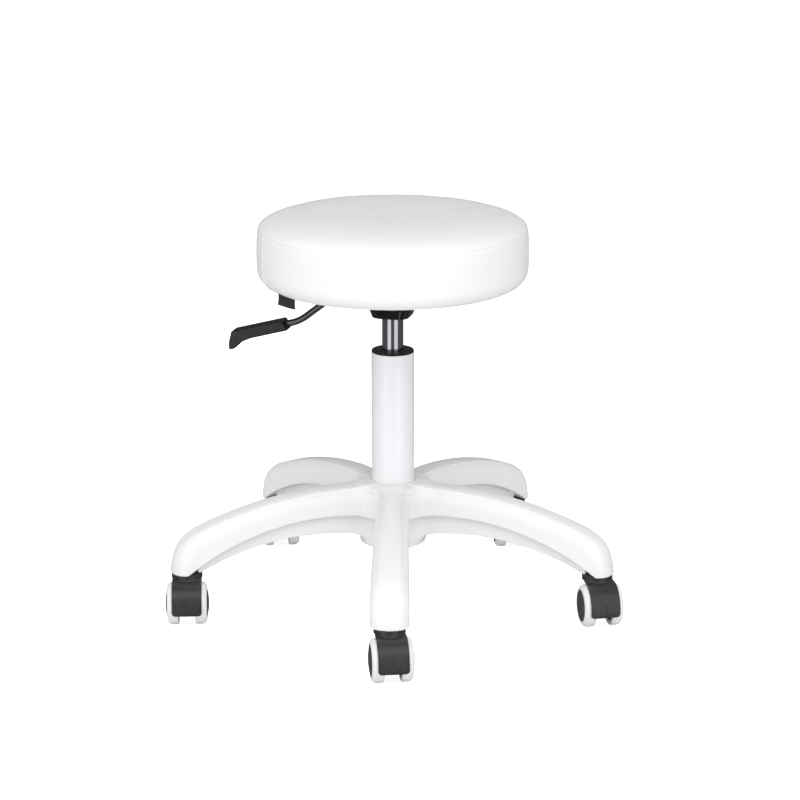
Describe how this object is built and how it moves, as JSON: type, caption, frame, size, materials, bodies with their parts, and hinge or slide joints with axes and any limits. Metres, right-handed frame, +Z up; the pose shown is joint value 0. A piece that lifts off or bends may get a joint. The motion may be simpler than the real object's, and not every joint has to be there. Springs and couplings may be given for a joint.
{
  "type": "rolling stylist stool",
  "caption": "Round padded stool on a gas lift with a paddle lever, on a five-arm base with hooded twin-wheel casters.",
  "frame": {"origin": "on the floor, on the axis of the gas lift, with the seat fully down", "axes": "+Z up, -Y along the front arm, +X to the right of a person who faces the front arm's caster from outside"},
  "size_m": [0.5936, 0.5813, 0.526],
  "materials": {
    "base_nylon": "satin white moulded nylon",
    "sleeve_white": "gloss white tube",
    "black_plastic": "semi-gloss black moulded plastic",
    "column_steel": "black painted steel",
    "bright_steel": "ground and plated steel",
    "plain_steel": "plain steel",
    "brass": "bearing cage and nuts",
    "rubber": "black rubber",
    "mechanism_black": "gloss black powder coat",
    "lever_black": "gloss black rod",
    "grip_black": "satin black moulded plastic",
    "plywood": "plywood",
    "foam": "upholstery foam",
    "vinyl_white": "smooth satin white upholstery vinyl",
    "dust_fabric": "black non-woven fabric",
    "tag_fabric": "black woven ribbon",
    "valve_red": "moulded release pin",
    "hood_plastic": "dark grey moulded nylon",
    "wheel_core": "dark grey moulded nylon",
    "tread_white": "soft white polyurethane tread"
  },
  "bodies": {
    "base": {"star_base": "base_nylon", "column_tube": "column_steel", "column_sleeve": "sleeve_white", "column_cap": "black_plastic", "guide_bushing": "black_plastic", "caster_stems": "plain_steel", "stem_grip_rings": "plain_steel", "bearing_lower_race": "plain_steel"},
    "rod": {"bearing_balls": "plain_steel", "bearing_cage": "brass", "bearing_upper_race": "plain_steel", "piston_rod": "bright_steel", "piston_head": "black_plastic", "retaining_clip": "plain_steel", "rubber_bumper": "rubber"},
    "seat": {"pressure_tube": "bright_steel", "rod_seal": "rubber", "mechanism_housing": "mechanism_black", "lever_pivot_pin": "plain_steel", "plate_bolts": "plain_steel", "t_nuts": "brass", "seat_board": "plywood", "seat_foam": "foam", "seat_cover": "vinyl_white", "dust_cover": "dust_fabric", "cover_staples": "plain_steel", "label_tag": "tag_fabric"},
    "lever": {"lever_rod": "lever_black", "lever_grip": "grip_black"},
    "valve": {"release_button": "valve_red"},
    "caster_1": {"caster_1_housing": "hood_plastic", "caster_1_axle": "plain_steel"},
    "caster_1_left": {"caster_1_left_wheel": "wheel_core", "caster_1_left_tread": "tread_white"},
    "caster_1_right": {"caster_1_right_wheel": "wheel_core", "caster_1_right_tread": "tread_white"},
    "caster_2": {"caster_2_housing": "hood_plastic", "caster_2_axle": "plain_steel"},
    "caster_2_left": {"caster_2_left_wheel": "wheel_core", "caster_2_left_tread": "tread_white"},
    "caster_2_right": {"caster_2_right_wheel": "wheel_core", "caster_2_right_tread": "tread_white"},
    "caster_3": {"caster_3_housing": "hood_plastic", "caster_3_axle": "plain_steel"},
    "caster_3_left": {"caster_3_left_wheel": "wheel_core", "caster_3_left_tread": "tread_white"},
    "caster_3_right": {"caster_3_right_wheel": "wheel_core", "caster_3_right_tread": "tread_white"},
    "caster_4": {"caster_4_housing": "hood_plastic", "caster_4_axle": "plain_steel"},
    "caster_4_left": {"caster_4_left_wheel": "wheel_core", "caster_4_left_tread": "tread_white"},
    "caster_4_right": {"caster_4_right_wheel": "wheel_core", "caster_4_right_tread": "tread_white"},
    "caster_5": {"caster_5_housing": "hood_plastic", "caster_5_axle": "plain_steel"},
    "caster_5_left": {"caster_5_left_wheel": "wheel_core", "caster_5_left_tread": "tread_white"},
    "caster_5_right": {"caster_5_right_wheel": "wheel_core", "caster_5_right_tread": "tread_white"}
  },
  "joints": [
    {"name": "seat_swivel", "type": "hinge", "parent": "base", "child": "rod", "pos_m": [0, 0, 0.09], "axis": [0, 0, 1], "continuous": true},
    {"name": "height_lift", "type": "slide", "parent": "rod", "child": "seat", "axis": [0, 0, 1], "range_m": [0, 0.13]},
    {"name": "lever_lift", "type": "hinge", "parent": "seat", "child": "lever", "pos_m": [-0.01949, 0.0045, 0.42], "axis": [0.225, 0.9744, 0], "range_deg": [0, 7]},
    {"name": "button_press", "type": "slide", "parent": "seat", "child": "valve", "axis": [0, 0, -1], "range_m": [0, 0.0028]},
    {"name": "caster_1_swivel", "type": "hinge", "parent": "base", "child": "caster_1", "pos_m": [0, -0.2805, 0.06], "axis": [0, 0, 1], "continuous": true},
    {"name": "caster_1_left_spin", "type": "hinge", "parent": "caster_1", "child": "caster_1_left", "pos_m": [0.00223, -0.29634, 0.0275], "axis": [0.9903, 0.1392, 0], "continuous": true},
    {"name": "caster_1_right_spin", "type": "hinge", "parent": "caster_1", "child": "caster_1_right", "pos_m": [0.00223, -0.29634, 0.0275], "axis": [0.9903, 0.1392, 0], "continuous": true},
    {"name": "caster_2_swivel", "type": "hinge", "parent": "base", "child": "caster_2", "pos_m": [0.26677, -0.08668, 0.06], "axis": [0, 0, 1], "continuous": true},
    {"name": "caster_2_left_spin", "type": "hinge", "parent": "caster_2", "child": "caster_2_left", "pos_m": [0.26996, -0.10236, 0.0275], "axis": [0.9799, 0.1994, 0], "continuous": true},
    {"name": "caster_2_right_spin", "type": "hinge", "parent": "caster_2", "child": "caster_2_right", "pos_m": [0.26996, -0.10236, 0.0275], "axis": [0.9799, 0.1994, 0], "continuous": true},
    {"name": "caster_3_swivel", "type": "hinge", "parent": "base", "child": "caster_3", "pos_m": [0.16487, 0.22693, 0.06], "axis": [0, 0, 1], "continuous": true},
    {"name": "caster_3_left_spin", "type": "hinge", "parent": "caster_3", "child": "caster_3_left", "pos_m": [0.16655, 0.21102, 0.0275], "axis": [0.9945, 0.1045, 0], "continuous": true},
    {"name": "caster_3_right_spin", "type": "hinge", "parent": "caster_3", "child": "caster_3_right", "pos_m": [0.16655, 0.21102, 0.0275], "axis": [0.9945, 0.1045, 0], "continuous": true},
    {"name": "caster_4_swivel", "type": "hinge", "parent": "base", "child": "caster_4", "pos_m": [-0.16487, 0.22693, 0.06], "axis": [0, 0, 1], "continuous": true},
    {"name": "caster_4_left_spin", "type": "hinge", "parent": "caster_4", "child": "caster_4_left", "pos_m": [-0.1632, 0.21102, 0.0275], "axis": [0.9945, 0.1045, 0], "continuous": true},
    {"name": "caster_4_right_spin", "type": "hinge", "parent": "caster_4", "child": "caster_4_right", "pos_m": [-0.1632, 0.21102, 0.0275], "axis": [0.9945, 0.1045, 0], "continuous": true},
    {"name": "caster_5_swivel", "type": "hinge", "parent": "base", "child": "caster_5", "pos_m": [-0.26677, -0.08668, 0.06], "axis": [0, 0, 1], "continuous": true},
    {"name": "caster_5_left_spin", "type": "hinge", "parent": "caster_5", "child": "caster_5_left", "pos_m": [-0.26574, -0.10265, 0.0275], "axis": [0.9979, 0.0645, 0], "continuous": true},
    {"name": "caster_5_right_spin", "type": "hinge", "parent": "caster_5", "child": "caster_5_right", "pos_m": [-0.26574, -0.10265, 0.0275], "axis": [0.9979, 0.0645, 0], "continuous": true}
  ],
  "couplings": [
    {"joint": "button_press", "follows": "lever_lift", "m_per_rad": 0.0225}
  ]
}
